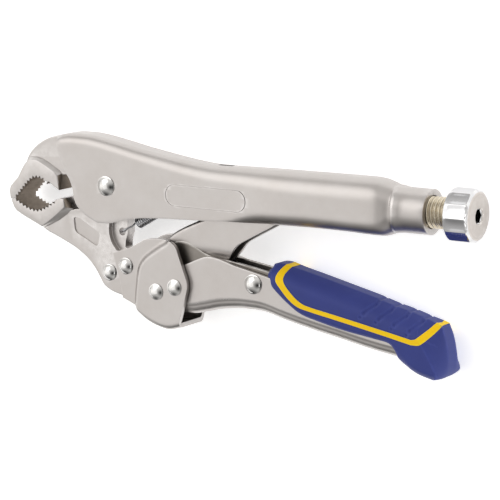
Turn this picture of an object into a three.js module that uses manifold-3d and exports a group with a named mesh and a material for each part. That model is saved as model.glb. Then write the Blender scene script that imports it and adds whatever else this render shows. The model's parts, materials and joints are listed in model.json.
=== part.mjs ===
// Curved-jaw locking pliers of the 250 mm class, lying on one side.
// Millimetres. +X runs from the jaws to the adjusting knob, +Y from the lower handle to the
// upper handle's back, and +Z up, across the sheet-metal cheeks. Every pivot is parallel to Z.
// The pieces are drawn about the main jaw pivot, and the last lines move the whole tool so that
// its origin is the middle of its footprint.
import * as THREE from 'three';
import { mergeVertices } from 'three/addons/utils/BufferGeometryUtils.js';
import Module from 'manifold-3d';

const wasm = await Module();
wasm.setup();

// ---------- driving dimensions ----------
const REST_HALF = 12.2; // half the tool's greatest thickness: knob, grip and link rivets
const GAP = 0.3; // running gap between moving neighbours

const FRAME_HALF = 8.8; // half thickness across the upper handle's flat cheeks
const FRAME_SHEET = 2.8;
const REAR_HALF = 10.5; // half thickness of the upper handle's round rear part
const COLLAR_RADIUS = 10.2;
const COLLAR_END = 169.3;
const SCREW_AXIS_Y = 0.7;

const NOSE_HALF = 8.2; // half thickness of the gripping noses
const TANG_HALF = FRAME_HALF - FRAME_SHEET - GAP; // jaw plate between the cheeks
const WEB_HALF = 3; // thinned web that takes the spring hook
const HUB_RADIUS = 11.5;
const TOOTH_DEPTH = 0.45;
const TOOTH_COUNT = 12;

const LEVER_FLAT_HALF = 8.6; // outer half thickness of the lever's front ears
const LEVER_BULGE_HALF = 10.6; // outer half thickness of its raised section
const LEVER_SHEET = 2.2;

const HANDLE_HALF = 8;
const HANDLE_SHEET = 2.1;
const CHANNEL_HALF = 5.5;
const CHANNEL_SHEET = 1.5;
const LINK_HALF = 3.7;
const LINK_SHEET = 1.6;

const STRIPE_WIDTH = 2;
const STRIPE_DEPTH = 1.2;

const SCREW_RADIUS = 7.25;
const SCREW_TIP_START = 106.6;
const SCREW_STEM_START = 110;
const KNOB_START = 179.5;
const KNOB_END = 191.9;
const KNOB_CHAMFER = 1.3;
const HEX_ACROSS_FLATS = 6;
const HEX_DEPTH = 8;

// Pivot places, seen along Z.
const MAIN_PIVOT = [0, 0];
const TAIL_STOP = [-0.6, -41.9];
const LEVER_PIVOT = [10.9, -37.3];
const HANDLE_PIVOT = [29.4, -47.5];
const LINK_PIVOT = [39.7, -44.5];
const REAR_PIN = [81.4, -39.1];
const LINK_NOSE = [101, SCREW_AXIS_Y];
const LINK_NOSE_RADIUS = 5;
const SPRING_HOLE = [5.2, -22.1];
const SPRING_ANCHOR = [64, 11.6];

// ---------- materials ----------
function finish(color, roughness, metalness) {
  return new THREE.MeshStandardMaterial({ color, roughness, metalness });
}
const satinNickel = finish(0xc8c3bc, 0.42, 1);
const darkNickel = finish(0x8f8a83, 0.45, 1);
const polishedSteel = finish(0xd6d4d0, 0.15, 1);
const chrome = finish(0xdcdcdc, 0.1, 1);
const springSteel = finish(0x5d6166, 0.35, 1);
const bluePlastic = finish(0x3c478c, 0.6, 0);
const yellowPlastic = finish(0xf2bf00, 0.55, 0);

// ---------- solids ----------
function toSolid(geometry) {
  const bare = geometry.clone();
  bare.deleteAttribute('normal');
  bare.deleteAttribute('uv');
  const merged = mergeVertices(bare, 1e-4);
  const vertProperties = new Float32Array(merged.attributes.position.array);
  const triVerts = new Uint32Array(merged.index.array);
  return new wasm.Manifold(new wasm.Mesh({ numProp: 3, vertProperties, triVerts }));
}

function toGeometry(solid) {
  const data = solid.getMesh();
  const geometry = new THREE.BufferGeometry();
  geometry.setAttribute('position', new THREE.BufferAttribute(data.vertProperties, 3));
  geometry.setIndex(new THREE.BufferAttribute(data.triVerts, 1));
  geometry.computeVertexNormals();
  return geometry;
}

const tool = new THREE.Group();

function addPiece(name, solid, material) {
  const mesh = new THREE.Mesh(toGeometry(solid), material);
  mesh.name = name;
  tool.add(mesh);
}

function toShape(points) {
  return new THREE.Shape(points.map(([x, y]) => new THREE.Vector2(x, y)));
}

// A flat plate of a closed outline between two heights.
function plate(points, low, high) {
  const geometry = new THREE.ExtrudeGeometry(toShape(points), {
    depth: high - low,
    bevelEnabled: false,
  });
  geometry.translate(0, 0, low);
  return toSolid(geometry);
}

// A plate of the full half thickness whose rim is rounded over by the given radius.
function roundedPlate(points, half, radius) {
  const geometry = new THREE.ExtrudeGeometry(toShape(points), {
    depth: 2 * (half - radius),
    bevelEnabled: true,
    bevelThickness: radius,
    bevelSize: radius,
    bevelOffset: -radius,
    bevelSegments: 3,
  });
  geometry.translate(0, 0, radius - half);
  return toSolid(geometry);
}

function arc([cx, cy], radius, fromDegrees, toDegrees, count) {
  const points = [];
  for (let i = 0; i <= count; i += 1) {
    const angle = THREE.MathUtils.degToRad(fromDegrees + ((toDegrees - fromDegrees) * i) / count);
    points.push([cx + radius * Math.cos(angle), cy + radius * Math.sin(angle)]);
  }
  return points;
}

function pin([x, y], radius, low, high, segments = 20) {
  const geometry = new THREE.CylinderGeometry(radius, radius, high - low, segments);
  geometry.rotateX(Math.PI / 2);
  geometry.translate(x, y, (low + high) / 2);
  return toSolid(geometry);
}

// A solid of revolution about the screw axis; the profile is a list of [x, radius].
function turned(profile, segments) {
  const points = profile.map(([x, radius]) => new THREE.Vector2(radius, -x));
  const geometry = new THREE.LatheGeometry(points.reverse(), segments);
  geometry.rotateZ(Math.PI / 2);
  geometry.translate(0, SCREW_AXIS_Y, 0);
  return toSolid(geometry);
}

// A closed skin over a row of equal rings of points.
function loft(rings) {
  const size = rings[0].length;
  const positions = rings.flat(2);
  const index = [];
  for (let r = 0; r + 1 < rings.length; r += 1) {
    for (let i = 0; i < size; i += 1) {
      const a = r * size + i;
      const b = r * size + ((i + 1) % size);
      index.push(a, b + size, b, a, a + size, b + size);
    }
  }
  const last = (rings.length - 1) * size;
  for (let i = 1; i + 1 < size; i += 1) {
    index.push(0, i, i + 1);
    index.push(last, last + i + 1, last + i);
  }
  const geometry = new THREE.BufferGeometry();
  geometry.setAttribute('position', new THREE.Float32BufferAttribute(positions, 3));
  geometry.setIndex(index);
  return toSolid(geometry);
}

// A rounded rectangle across X, from its bottom to its top, with its own corner radii.
function ring(x, bottom, top, half, bottomRadius, topRadius) {
  const corners = [
    [top - topRadius, half - topRadius, topRadius, 0],
    [top - topRadius, topRadius - half, topRadius, 270],
    [bottom + bottomRadius, bottomRadius - half, bottomRadius, 180],
    [bottom + bottomRadius, half - bottomRadius, bottomRadius, 90],
  ];
  const points = [];
  for (const [y, z, radius, start] of corners) {
    for (const [py, pz] of arc([y, z], radius, start + 90, start, 4)) {
      points.push([x, py, pz]);
    }
  }
  return points;
}

// The value at x along a few [x, value] stations, straight between them.
function follow(stations, x) {
  let i = 0;
  while (i < stations.length - 2 && x > stations[i + 1][0]) i += 1;
  const [x0, v0] = stations[i];
  const [x1, v1] = stations[i + 1];
  const t = THREE.MathUtils.clamp((x - x0) / (x1 - x0), 0, 1);
  return THREE.MathUtils.lerp(v0, v1, t);
}

// ---------- upper handle ----------
const FRAME_TOP = [
  [-32, 21.6], [-24, 23.2], [-14, 23.4], [-5, 22.4], [5, 20.7], [17, 18.5], [28, 16.8],
  [44, 14.6], [60, 13.4], [78, 13.7], [115, 14.1], [140, 14.2], [148, 13.4], [153.5, 11.4],
  [157, 10.9], [COLLAR_END, 10.9],
];
const FRAME_BOTTOM = [
  [-32, -18], [-5, -18], [1.5, -17.7], [7.5, -16.2], [17, -14.1], [29, -13], [52, -12],
  [70, -11], [92, -11.2], [115, -10.8], [130, -10.9], [140, -11.3], [147.5, -11.4],
  [153, -10.2], [157, -9.5], [COLLAR_END, -9.5],
];
const FRAME_WIDTH = [
  [-32, FRAME_HALF], [66, FRAME_HALF], [100, REAR_HALF], [146, REAR_HALF],
  [157, COLLAR_RADIUS], [COLLAR_END, COLLAR_RADIUS],
];
const FRAME_TOP_RADIUS = [[-32, 5], [40, 6], [100, 9.5], [146, 9.8], [157, 10.15], [COLLAR_END, 10.15]];
const FRAME_BOTTOM_RADIUS = [[-32, 0.4], [70, 0.4], [104, 6], [146, 7.5], [157, 10.15], [COLLAR_END, 10.15]];
const CAVITY_END = 146;
const OPEN_BELOW = [[-40, 8], [86, 8], [100, -FRAME_SHEET], [CAVITY_END, -FRAME_SHEET]];

function frameRing(x) {
  return ring(
    x,
    follow(FRAME_BOTTOM, x),
    follow(FRAME_TOP, x),
    follow(FRAME_WIDTH, x),
    follow(FRAME_BOTTOM_RADIUS, x),
    follow(FRAME_TOP_RADIUS, x),
  );
}

function cavityRing(x) {
  return ring(
    x,
    follow(FRAME_BOTTOM, x) - follow(OPEN_BELOW, x),
    follow(FRAME_TOP, x) - FRAME_SHEET,
    follow(FRAME_WIDTH, x) - FRAME_SHEET,
    Math.max(follow(FRAME_BOTTOM_RADIUS, x) - FRAME_SHEET, 0.4),
    follow(FRAME_TOP_RADIUS, x) - FRAME_SHEET,
  );
}

function upperHandle() {
  const outerStations = [
    -30, -22, -14, -5, 5, 17, 28, 44, 60, 78, 90, 100, 115, 130, 140, 147.5, 153, 157, COLLAR_END,
  ];
  const cavityStations = [-36, -22, -14, -5, 5, 17, 28, 44, 60, 78, 86, 93, 100, 115, 130, CAVITY_END];
  const frontCut = [
    [-34, 30], [-29, 21.3], [-24.5, 6], [-21.4, 1.5], [-19.8, -2.5], [-18.9, -7.2],
    [-16.8, -11.2], [-11.4, -15.4], [-5.1, -18], [-5.1, -30], [-40, -30], [-40, 30],
  ];
  const slitHalf = 4.6;
  const slit = [[80, -20], [138, -20], [138, -6], [80, -6]];
  const springSlot = [[58, 6], [67, 6], [67, 20], [58, 20]];
  const bore = turned([[140, 0], [140, SCREW_RADIUS + GAP], [175, SCREW_RADIUS + GAP], [175, 0]], 32);
  return loft(outerStations.map(frameRing))
    .subtract(loft(cavityStations.map(cavityRing)))
    .subtract(plate(frontCut, -20, 20))
    .subtract(plate(slit, -slitHalf, slitHalf))
    .subtract(plate(springSlot, -1.6, 1.6))
    .subtract(bore)
    .subtract(pin(MAIN_PIVOT, 4.3, -20, 20));
}

// ---------- jaws ----------
// The gripping edge: a cubic curve broken into teeth.
function toothedEdge(start, handle1, handle2, end) {
  const toVector = ([x, y]) => new THREE.Vector2(x, y);
  const curve = new THREE.CubicBezierCurve(...[start, handle1, handle2, end].map(toVector));
  const points = [];
  const steps = 2 * TOOTH_COUNT;
  for (let i = 0; i <= steps; i += 1) {
    const point = curve.getPointAt(i / steps);
    const along = curve.getTangentAt(i / steps);
    const lift = (i % 2 ? 1 : -1) * TOOTH_DEPTH;
    points.push([point.x - along.y * lift, point.y + along.x * lift]);
  }
  return points;
}

function fixedJaw() {
  const nose = [
    [-29.6, 21.2], [-35, 19.3], [-40.9, 15.7], [-45.5, 11.2], [-50.2, 4.5], [-52.8, 0.1],
    [-57.1, -4.2], [-58.1, -6.7], [-57.4, -9.6],
    ...toothedEdge([-55.2, -9.6], [-49.5, -3.5], [-43.5, 4.5], [-36.2, -0.8]),
    [-34.1, -0.9], [-28.2, -4.2], [-25.6, 5.6],
  ];
  const tang = [
    [-31, 16.6], [-28, 17.3], [-22, 18.4], [-14, 18.5], [-5, 17.4], [3.5, 15.8],
    ...arc(MAIN_PIVOT, HUB_RADIUS + 0.7, 73, 196, 10),
    [-28.2, -4], [-30, 2],
  ];
  return plate(nose, -NOSE_HALF, NOSE_HALF).add(plate(tang, -TANG_HALF, TANG_HALF));
}

function lowerJaw() {
  const nose = [
    ...toothedEdge([-30.9, -10.1], [-43, -18], [-50.5, -14.6], [-55.4, -10.7]),
    [-56.9, -10.9], [-55.4, -14.5], [-53.8, -16.3], [-49.9, -18.2], [-43.1, -21],
    [-36.2, -23.2], [-29.4, -19.2], [-22.8, -12.9], [-25.4, -8.1], [-29.4, -8.8],
  ];
  const tang = [
    [-44, -19], [-25.4, -8.1], [-16, -6.9],
    ...arc(MAIN_PIVOT, HUB_RADIUS, 196, -55, 16),
    [7.9, -15.4], [8, -22.4], [6.6, -28], [7.2, -30.6], [13.4, -29.9],
    ...arc(LEVER_PIVOT, 7.4, 60, -40, 5),
    [12.8, -48.4], [6.9, -52.4], [0.6, -50.6], [-3.8, -48.5], [-6.6, -44], [-9.4, -40.4],
    [-13.8, -36], [-20.2, -31.9], [-31.1, -27.3], [-36.2, -24.2], [-43, -21],
  ];
  const pocket = [
    [-0.3, -12.4], [-0.9, -24.4], [3.4, -30.4], [6.9, -30.4], [12, -24], [12, -12.4],
  ];
  return plate(nose, -NOSE_HALF, NOSE_HALF)
    .add(plate(tang, -TANG_HALF, TANG_HALF))
    .subtract(plate(pocket, WEB_HALF, TANG_HALF + 1))
    .subtract(plate(pocket, -TANG_HALF - 1, -WEB_HALF))
    .subtract(pin(SPRING_HOLE, 1.9, -10, 10, 16))
    .subtract(pin(MAIN_PIVOT, 4.3, -20, 20))
    .subtract(pin(TAIL_STOP, 3.3, -20, 20))
    .subtract(pin(LEVER_PIVOT, 3.3, -20, 20));
}

// ---------- rivets ----------
// A shank with a low dome at each end; the heads start clear of the face they bear on.
function rivet([x, y], shank, headRadius, face, headHeight) {
  const bearing = face + 0.05;
  const points = [[0, -bearing - headHeight]];
  const dome = 4;
  for (let i = 1; i <= dome; i += 1) {
    const angle = (i / dome) * (Math.PI / 2);
    points.push([headRadius * Math.sin(angle), -bearing - headHeight * Math.cos(angle)]);
  }
  points.push([shank, -bearing]);
  const mirrored = points.map(([radius, z]) => [radius, -z]).reverse();
  const profile = [...points, ...mirrored].map(([radius, z]) => new THREE.Vector2(radius, z));
  const geometry = new THREE.LatheGeometry(profile, 20);
  geometry.rotateX(Math.PI / 2);
  geometry.translate(x, y, 0);
  return toSolid(geometry);
}

// ---------- lever ----------
function lever() {
  const outline = [
    [3.4, -31.6], [7.2, -44.4], [8.9, -52.2], [14.6, -54.6], [20.2, -59.7], [27.5, -63.4],
    [35.4, -65.2], [43, -64.2], [45, -59.8], [46.6, -47], [46.6, -42.4], [44.2, -35.3],
    [41.6, -28.4], [37.9, -23.3], [30.6, -22.7], [21.8, -23.4], [12.6, -28.6],
  ];
  const ears = [
    [0, -25], [0, -60], [14, -60], [16.6, -54.6], [17.4, -46], [18, -38.4], [21.4, -33.6],
    [32, -24.8], [30, -15], [10, -15],
  ];
  const earCavity = [
    [0, -10], [60, -10], [60, -57.2], [21, -57.2], [17.2, -55.8], [17.2, -70], [0, -70],
  ];
  const bulgeCavity = [
    [31, -10], [60, -10], [60, -60], [43.6, -61.6], [35.4, -62.6], [27.5, -60.8], [21, -57.2],
    [18.9, -52], [19.2, -46], [19.8, -39.6], [23, -35], [33, -27],
  ];
  return roundedPlate(outline, LEVER_BULGE_HALF, 1)
    .subtract(plate(ears, LEVER_FLAT_HALF, 20))
    .subtract(plate(ears, -20, -LEVER_FLAT_HALF))
    .subtract(plate(earCavity, -FRAME_HALF + FRAME_SHEET, FRAME_HALF - FRAME_SHEET))
    .subtract(plate(bulgeCavity, LEVER_SHEET - LEVER_BULGE_HALF, LEVER_BULGE_HALF - LEVER_SHEET))
    .subtract(pin(LEVER_PIVOT, 3.3, -20, 20))
    .subtract(pin(HANDLE_PIVOT, 2.8, -20, 20))
    .subtract(pin(LINK_PIVOT, 2.8, -20, 20));
}

// ---------- lower handle ----------
const HANDLE_TOP = [[56.3, -28.5], [87.8, -35], [130, -44.6], [168, -53.4]];
const HANDLE_BOTTOM = [
  [168, -66.4], [154.5, -64.4], [141.7, -62.6], [127.2, -60], [112.5, -57.3], [97.6, -54.4],
  [85.8, -51.8], [76.2, -51.4], [68.9, -52], [61.5, -53.2], [54.1, -55],
];

function lowerHandle() {
  const front = [[46, -57], [34, -56.6], [25, -54.6], [21, -49], [22, -43], [30, -38.6], [44.4, -33.4]];
  const tall = [[21, -20], ...HANDLE_TOP.map(([x, y]) => [x, y + 14]), ...HANDLE_BOTTOM, ...front.slice(0, 4)];
  const above = [[10, 10], ...front.slice(3), ...HANDLE_TOP, [180, -53.4], [180, 10]];
  const inside = [
    [10, 10], [10, -60], [46, -60], [54.1, -55 + HANDLE_SHEET],
    ...HANDLE_BOTTOM.slice(0, -1).reverse().map(([x, y]) => [x, y + HANDLE_SHEET]),
    [180, -64.3], [180, 10],
  ];
  const innerHalf = HANDLE_HALF - HANDLE_SHEET;
  return roundedPlate(tall, HANDLE_HALF, 2.6)
    .subtract(plate(above, -20, 20))
    .subtract(plate(inside, -innerHalf, innerHalf))
    .subtract(pin(HANDLE_PIVOT, 2.8, -20, 20))
    .subtract(pin(LINK_PIVOT, 4.1, -20, 20))
    .subtract(pin(REAR_PIN, 3.3, -20, 20));
}

function innerChannel() {
  const floor = (x) => follow(HANDLE_BOTTOM.slice().reverse(), x) + HANDLE_SHEET + GAP;
  const stations = [56, 61.5, 68.9, 76.2, 85.8, 97.6, 112.5, 124];
  const bottom = stations.map((x) => [x, floor(x)]);
  const outline = [
    [36, -24.2], [41.5, -23], [54.8, -28.2], [86.4, -32.9], [124, -41.5],
    ...bottom.slice().reverse(),
    [47, -53.5], [34, -54], [25, -52], [21.4, -47.4], [22, -41],
  ];
  const inside = [
    [10, 10], [10, -60], [47, -60], [52, -50],
    ...bottom.map(([x, y]) => [x, y + CHANNEL_SHEET]),
    [140, -57], [140, 10],
  ];
  const innerHalf = CHANNEL_HALF - CHANNEL_SHEET;
  return plate(outline, -CHANNEL_HALF, CHANNEL_HALF)
    .subtract(plate(inside, -innerHalf, innerHalf))
    .subtract(pin(HANDLE_PIVOT, 2.8, -20, 20))
    .subtract(pin(LINK_PIVOT, 4.1, -20, 20))
    .subtract(pin(REAR_PIN, 3.3, -20, 20));
}

function spacer(place, outer, inner, half) {
  return pin(place, outer, -half, half).subtract(pin(place, inner, -half - 1, half + 1));
}

// ---------- toggle link ----------
function toggleLink() {
  const [noseX, noseY] = LINK_NOSE;
  const outline = [
    ...arc(LINK_PIVOT, 6.6, 150, 300, 8), [56, -42], [67.3, -27.2], [71.4, -22.2], [88.9, -12.4],
    ...arc(LINK_NOSE, LINK_NOSE_RADIUS, -60, 112, 8), [80, 1], [50, -12.3], [31.6, -20.2],
    [32.2, -34],
  ];
  const inside = [
    [44, -60], [90, -30], [90, -13.5], [noseX - 5, -5.4], [noseX - 5, noseY + 2.4],
    [80, -0.8], [50, -14.1], [33.6, -21.3], [34, -34], [34, -60],
  ];
  const innerHalf = LINK_HALF - LINK_SHEET;
  return plate(outline, -LINK_HALF, LINK_HALF)
    .subtract(plate(inside, -innerHalf, innerHalf))
    .subtract(pin(LINK_PIVOT, 2.8, -20, 20));
}

// ---------- grip ----------
const GRIP_TOP = [[87, -31.2], [90, -28.9], [95, -28.7], [101, -30.1], [128.6, -36.2], [150, -41.6], [175, -48.4]];
const GRIP_END = [[178.3, -57.5], [179.6, -65], [179.9, -71.4], [178, -73.2], [172, -72.2], [164, -70], [158.5, -65.4], [155.4, -58.8]];
const GRIP_SIDE = [[145.5, -56.9], [131.2, -54.9], [116.6, -52], [107.8, -49.6], [101.8, -45.9], [94.4, -40.2], [90.3, -36.1]];
const STRIPE_PATH = [
  [99, -30.6], [94.6, -31.6], [93, -34], [97, -40.2], [104, -46], [109, -48.2],
  [140, -53.9], [165.6, -58.6], [173.4, -49.4],
];

// A flat band of even width along a path.
function band(path, width, low, high) {
  const left = [];
  const right = [];
  path.forEach(([x, y], i) => {
    const [ax, ay] = path[Math.max(i - 1, 0)];
    const [bx, by] = path[Math.min(i + 1, path.length - 1)];
    const length = Math.hypot(bx - ax, by - ay);
    const nx = (-(by - ay) / length) * (width / 2);
    const ny = ((bx - ax) / length) * (width / 2);
    left.push([x + nx, y + ny]);
    right.unshift([x - nx, y - ny]);
  });
  return plate([...right, ...left], low, high);
}

function grip() {
  const outline = [...GRIP_TOP, ...GRIP_END, ...GRIP_SIDE];
  const floor = HANDLE_BOTTOM.map(([x, y]) => [x, y - GAP]).slice(0, 7);
  const pocket = [
    [70, -35 + GAP], [87.8, -35 + GAP], [130, -44.6 + GAP], [168 + GAP, -53.4 + GAP],
    [168 + GAP, -66.4 - GAP], ...floor.slice(1), [70, -53],
  ];
  const linerPocket = [[70, -28.6], [86.4, -32.6], [124.4, -41.2], [124.4, -52], [70, -52]];
  const pocketHalf = HANDLE_HALF + GAP;
  const linerHalf = CHANNEL_HALF + GAP;
  const groove = STRIPE_WIDTH + 2 * GAP;
  const grooveDepth = REST_HALF - STRIPE_DEPTH - GAP;
  return roundedPlate(outline, REST_HALF, 1.6)
    .subtract(plate(pocket, -pocketHalf, pocketHalf))
    .subtract(plate(linerPocket, -linerHalf, linerHalf))
    .subtract(band(STRIPE_PATH, groove, grooveDepth, 20))
    .subtract(band(STRIPE_PATH, groove, -20, -grooveDepth));
}

// ---------- adjusting screw ----------
function adjustingKnob() {
  const knob = turned(
    [
      [KNOB_START, 0], [KNOB_START, REST_HALF - KNOB_CHAMFER],
      [KNOB_START + KNOB_CHAMFER, REST_HALF], [KNOB_END - KNOB_CHAMFER, REST_HALF],
      [KNOB_END, REST_HALF - KNOB_CHAMFER], [KNOB_END, 0],
    ],
    32,
  );
  const hexRadius = HEX_ACROSS_FLATS / Math.sqrt(3);
  const socket = turned(
    [[KNOB_END - HEX_DEPTH, 0], [KNOB_END - HEX_DEPTH, hexRadius], [KNOB_END + 1, hexRadius], [KNOB_END + 1, 0]],
    6,
  );
  return knob.subtract(socket);
}

function adjustingScrew() {
  const end = KNOB_START - 0.02;
  return turned([[SCREW_STEM_START, 0], [SCREW_STEM_START, SCREW_RADIUS], [end, SCREW_RADIUS], [end, 0]], 24);
}

function screwTip() {
  const end = SCREW_STEM_START - 0.02;
  return turned([[SCREW_TIP_START, 0], [SCREW_TIP_START, 3.4], [SCREW_TIP_START + 1, 4.4], [end, 4.4], [end, 0]], 20);
}

// ---------- return spring ----------
function returnSpring() {
  const [x0, y0] = SPRING_HOLE;
  const [x1, y1] = SPRING_ANCHOR;
  const length = Math.hypot(x1 - x0, y1 - y0);
  const hook = 6.5;
  const coilRadius = 2.9;
  const geometry = new THREE.CylinderGeometry(coilRadius, coilRadius, length - 2 * hook, 12);
  geometry.rotateZ(Math.PI / 2 + Math.atan2(y1 - y0, x1 - x0));
  geometry.translate((x0 + x1) / 2, (y0 + y1) / 2, 0);
  return toSolid(geometry);
}

// ---------- assembly ----------
addPiece('upper_handle', upperHandle(), satinNickel);
addPiece('fixed_jaw', fixedJaw(), satinNickel);
addPiece('main_pivot_rivet', rivet(MAIN_PIVOT, 4, 4.75, FRAME_HALF, 2.2), polishedSteel);

addPiece('lower_jaw', lowerJaw(), satinNickel);
addPiece('tail_stop_rivet', rivet(TAIL_STOP, 3, 4, TANG_HALF, 2.3), polishedSteel);
addPiece('return_spring', returnSpring(), springSteel);

addPiece('lever', lever(), satinNickel);
addPiece('lever_rivet', rivet(LEVER_PIVOT, 3, 4, LEVER_FLAT_HALF, 2.3), polishedSteel);
const bulgeHead = REST_HALF - LEVER_BULGE_HALF - 0.05;
addPiece('handle_rivet', rivet(HANDLE_PIVOT, 2.5, 3.9, LEVER_BULGE_HALF, bulgeHead), polishedSteel);
addPiece('link_rivet', rivet(LINK_PIVOT, 2.5, 3.9, LEVER_BULGE_HALF, bulgeHead), polishedSteel);

addPiece('toggle_link', toggleLink(), satinNickel);
addPiece('link_bush', spacer(LINK_PIVOT, 3.9, 2.8, LINK_HALF - LINK_SHEET - 0.1), darkNickel);

addPiece('lower_handle', lowerHandle(), satinNickel);
addPiece('inner_channel', innerChannel(), darkNickel);
addPiece('rear_rivet', rivet(REAR_PIN, 3, 4.6, HANDLE_HALF, 2.4), polishedSteel);
addPiece('rear_spacer', spacer(REAR_PIN, 4.4, 3.3, CHANNEL_HALF - CHANNEL_SHEET - 0.1), darkNickel);
addPiece('grip', grip(), bluePlastic);
addPiece('grip_stripe_left', band(STRIPE_PATH, STRIPE_WIDTH, REST_HALF - STRIPE_DEPTH, REST_HALF), yellowPlastic);
addPiece('grip_stripe_right', band(STRIPE_PATH, STRIPE_WIDTH, -REST_HALF, STRIPE_DEPTH - REST_HALF), yellowPlastic);

addPiece('screw_tip', screwTip(), springSteel);
addPiece('adjusting_screw', adjustingScrew(), springSteel);
addPiece('adjusting_knob', adjustingKnob(), chrome);

const box = new THREE.Box3().setFromObject(tool);
const middle = box.getCenter(new THREE.Vector3());
tool.position.set(-middle.x, -middle.y, -box.min.z);

export default tool;
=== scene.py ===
"""Curved-jaw locking pliers of the 250 mm class, lying on one side.

Shapes are drawn in millimetres about the main jaw pivot, at mid thickness: X runs along the
adjusting screw towards its knob, Y towards the upper handle's back, and Z across the cheeks.
settle() takes a finished shape to the frame, in metres.
"""

import json
import math

import bmesh
import bpy
import numpy as np
from mathutils import Matrix, Vector


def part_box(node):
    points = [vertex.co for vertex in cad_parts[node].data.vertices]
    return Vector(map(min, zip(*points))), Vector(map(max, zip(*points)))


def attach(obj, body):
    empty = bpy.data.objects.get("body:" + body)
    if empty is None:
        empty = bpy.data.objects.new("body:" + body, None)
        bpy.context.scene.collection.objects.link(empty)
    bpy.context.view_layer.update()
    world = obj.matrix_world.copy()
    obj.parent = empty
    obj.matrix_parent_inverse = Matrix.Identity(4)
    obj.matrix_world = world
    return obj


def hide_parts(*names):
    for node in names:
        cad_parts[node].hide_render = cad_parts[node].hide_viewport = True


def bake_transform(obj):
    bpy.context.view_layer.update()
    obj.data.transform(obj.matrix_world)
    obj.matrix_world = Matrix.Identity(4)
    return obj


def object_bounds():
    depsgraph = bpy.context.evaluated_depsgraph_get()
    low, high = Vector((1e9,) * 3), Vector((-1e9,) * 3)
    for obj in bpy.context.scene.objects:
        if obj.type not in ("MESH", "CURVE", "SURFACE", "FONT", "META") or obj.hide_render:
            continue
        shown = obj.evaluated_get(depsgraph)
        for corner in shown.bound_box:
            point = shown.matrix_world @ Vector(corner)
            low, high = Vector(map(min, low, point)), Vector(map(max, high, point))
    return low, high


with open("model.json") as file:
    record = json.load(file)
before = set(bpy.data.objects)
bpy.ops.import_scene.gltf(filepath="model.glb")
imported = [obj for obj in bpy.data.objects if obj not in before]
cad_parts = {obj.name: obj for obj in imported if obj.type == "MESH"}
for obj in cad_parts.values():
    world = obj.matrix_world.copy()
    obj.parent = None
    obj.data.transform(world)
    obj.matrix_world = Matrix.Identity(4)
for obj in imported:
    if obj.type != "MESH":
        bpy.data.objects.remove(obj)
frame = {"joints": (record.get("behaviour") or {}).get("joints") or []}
cad_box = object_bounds()

# ---------- places and sizes, mm ----------
MM = 0.001
JOINTS = {joint["name"]: joint for joint in frame["joints"]}
MAIN_PIVOT = Vector(JOINTS["jaw_pivot"]["pos_m"])


def place_of(joint):
    """A joint's place in the drawing plane."""
    return np.array((Vector(JOINTS[joint]["pos_m"]) - MAIN_PIVOT) / MM)[:2]


def middle_of(node):
    """The middle of a CAD node in the drawing plane."""
    low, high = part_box(node)
    return np.array(((low + high) / 2 - MAIN_PIVOT) / MM)[:2]


LEVER_PIVOT = place_of("lever_pivot")
LINK_PIVOT = place_of("link_pivot")
HANDLE_PIVOT = place_of("handle_release")
SCREW_Y = place_of("screw_turn")[1]
TAIL_STOP = middle_of("tail_stop_rivet")
REAR_PIN = middle_of("rear_rivet")

FRAME_HALF = 8.8      # the upper handle's flat cheeks
TANG_HALF = 5.7       # the plates of both jaws
NOSE_HALF = 8.2       # the raised pads of both jaws
EAR_HALF = 8.6        # the lever's front ears
BULGE_HALF = 10.6     # the lever's raised section
HANDLE_HALF = 8.0
CHANNEL_HALF = 5.5
GRIP_HALF = 12.2      # the widest of all, and the knob's radius

FRAME_SHEET = 2.7
LEVER_SHEET = 2.1
HANDLE_SHEET = 2.0
LINK_SHEET = 1.6
CHANNEL_SHEET = 1.5

MAIN_BORE = 4.3
BUSH_BORE = 4.1
LARGE_BORE = 3.3
SMALL_BORE = 2.8
THROUGH = 20          # a cutting tool's reach on both sides of the mid plane
BROKEN_EDGE = 0.25    # how far a sheet's edges are rounded

SPRING_HOLE = np.array([5.2, -22.1])
SPRING_ANCHOR = np.array([62.5, 10.9])


# ---------- lines ----------
def along(stations):
    """The value at x through a few [x, value] stations, smooth and without overshoot."""
    x, y = np.array(stations, float).T
    steps = np.diff(x)
    secants = np.diff(y) / steps
    slopes = np.concatenate([secants[:1], (secants[:-1] + secants[1:]) / 2, secants[-1:]])
    slopes[1:-1][secants[:-1] * secants[1:] <= 0] = 0

    def value(at):
        at = np.clip(at, x[0], x[-1])
        i = np.clip(np.searchsorted(x, at) - 1, 0, len(steps) - 1)
        t = (at - x[i]) / steps[i]
        rising = t * t * (3 - 2 * t)
        bend = steps[i] * (slopes[i] * t * (1 - t) ** 2 - slopes[i + 1] * t * t * (1 - t))
        return y[i] * (1 - rising) + y[i + 1] * rising + bend

    return value


def by_length(dense):
    """The point at a share of the length of a line of close points."""
    dense = np.asarray(dense, float)
    lengths = np.concatenate([[0], np.cumsum(np.linalg.norm(np.diff(dense, axis=0), axis=1))])

    def point(share):
        at = np.asarray(share) * lengths[-1]
        return np.stack([np.interp(at, lengths, column) for column in dense.T], axis=-1)

    return point


def curve(points):
    """by_length() of a smooth line through the given points."""
    points = np.array(points, float)
    if len(points) == 2:
        return by_length(points)
    knots = np.concatenate([[0], np.cumsum(np.linalg.norm(np.diff(points, axis=0), axis=1) ** 0.5)])
    tangents = np.gradient(points, knots, axis=0)
    dense = []
    for i, step in enumerate(np.diff(knots)):
        t = np.linspace(0, 1, 24, endpoint=False)[:, None]
        rising = t * t * (3 - 2 * t)
        bend = step * (tangents[i] * t * (1 - t) ** 2 - tangents[i + 1] * t * t * (1 - t))
        dense.append(points[i] * (1 - rising) + points[i + 1] * rising + bend)
    return by_length(np.concatenate([*dense, points[-1:]]))


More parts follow.
